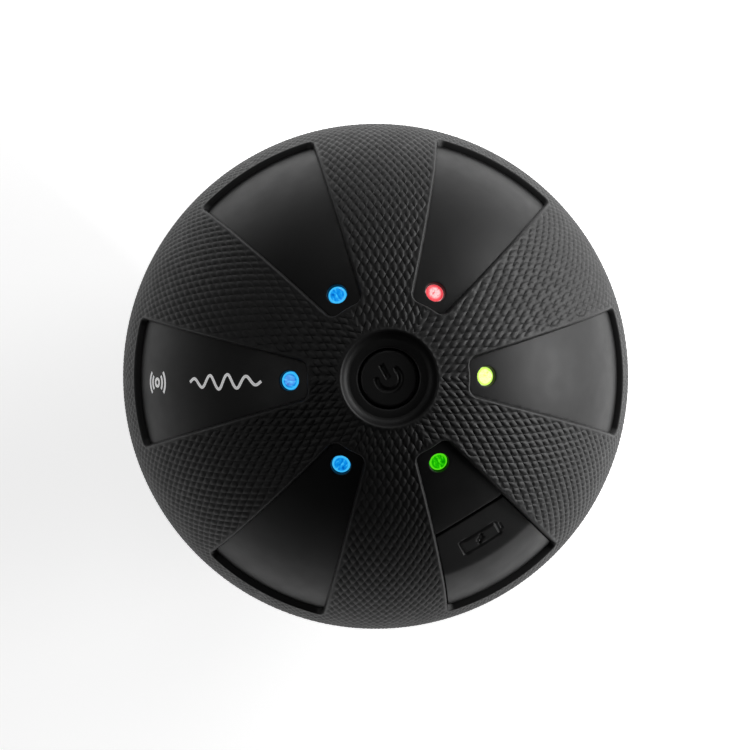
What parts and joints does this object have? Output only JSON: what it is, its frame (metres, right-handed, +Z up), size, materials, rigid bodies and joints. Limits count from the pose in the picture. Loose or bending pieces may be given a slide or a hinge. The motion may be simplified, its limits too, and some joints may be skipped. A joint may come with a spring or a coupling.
{
  "type": "massage ball",
  "caption": "Round vibrating massage ball with a knurled skin, smooth raised wedge pads, a sunk push button ringed by indicator lenses, and a hinged charging door.",
  "frame": {"origin": "on the surface the ball stands on, under the centre of the ball: the centre of its base pad's face", "axes": "+Z up along the power button's axis, -Y from the centre through the middle of the charging door, +X along the motor shaft"},
  "size_m": [0.079, 0.079, 0.0782],
  "materials": {
    "grip_silicone": "matte",
    "satin_black": "satin",
    "soft_rubber": "matte",
    "board": "satin",
    "steel": "satin",
    "brass": "satin",
    "copper": "satin",
    "cell_wrap": "satin",
    "dark_plastic": "matte",
    "grey_plastic": "matte",
    "ferrite": "matte",
    "red_wire": "satin",
    "black_wire": "satin",
    "lens_blue": "gloss",
    "lens_green": "gloss",
    "lens_lime": "gloss",
    "lens_red": "gloss"
  },
  "bodies": {
    "ball": {"base_pad": "soft_rubber", "battery_cell": "cell_wrap", "board_screw_a": "steel", "board_screw_b": "steel", "board_screw_c": "steel", "cell_cradle": "grey_plastic", "cell_lead_minus": "black_wire", "cell_lead_plus": "red_wire", "cell_tab_minus": "steel", "cell_tab_plus": "steel", "charge_port_shell": "steel", "charge_port_tongue": "dark_plastic", "chassis": "grey_plastic", "controller_chip": "dark_plastic", "cradle_screw_a": "steel", "cradle_screw_b": "steel", "door_hinge_strip": "soft_rubber", "equator_seal": "soft_rubber", "housing_screw_a": "steel", "housing_screw_b": "steel", "housing_screw_c": "steel", "housing_screw_d": "steel", "led_chip_a": "lens_green", "led_chip_b": "lens_lime", "led_chip_c": "lens_red", "led_chip_d": "lens_blue", "led_chip_e": "lens_blue", "led_chip_f": "lens_blue", "led_lens_a": "lens_green", "led_lens_b": "lens_lime", "led_lens_c": "lens_red", "led_lens_d": "lens_blue", "led_lens_e": "lens_blue", "led_lens_f": "lens_blue", "lower_grip_skin": "grip_silicone", "lower_housing": "satin_black", "main_board": "board", "motor_bushing_front": "brass", "motor_bushing_rear": "brass", "motor_can": "steel", "motor_end_cap": "dark_plastic", "motor_lead_minus": "black_wire", "motor_lead_plus": "red_wire", "motor_magnet_lower": "ferrite", "motor_magnet_upper": "ferrite", "motor_strap": "steel", "port_board": "board", "strap_screw_a": "steel", "strap_screw_b": "steel", "tactile_switch": "steel", "upper_grip_skin": "grip_silicone", "upper_housing": "satin_black"},
    "button": {"power_button": "satin_black", "switch_plunger": "dark_plastic"},
    "door": {"charging_door": "soft_rubber"},
    "rotor": {"motor_shaft": "steel", "motor_armature": "copper", "motor_commutator": "copper", "eccentric_weight_left": "brass", "eccentric_weight_right": "brass"}
  },
  "joints": [
    {"name": "button_press", "type": "slide", "parent": "ball", "child": "button", "axis": [0, 0, -1], "range_m": [0, 0.0006], "stiffness_N_per_m": 3500},
    {"name": "door_swing", "type": "hinge", "parent": "ball", "child": "door", "pos_m": [0, -0.03557, 0.05475], "axis": [1, 0, 0], "range_deg": [0, 130], "stiffness_Nm_per_rad": 0.0003},
    {"name": "motor_spin", "type": "hinge", "parent": "ball", "child": "rotor", "pos_m": [0, 0, 0.04985], "axis": [1, 0, 0], "continuous": true}
  ]
}
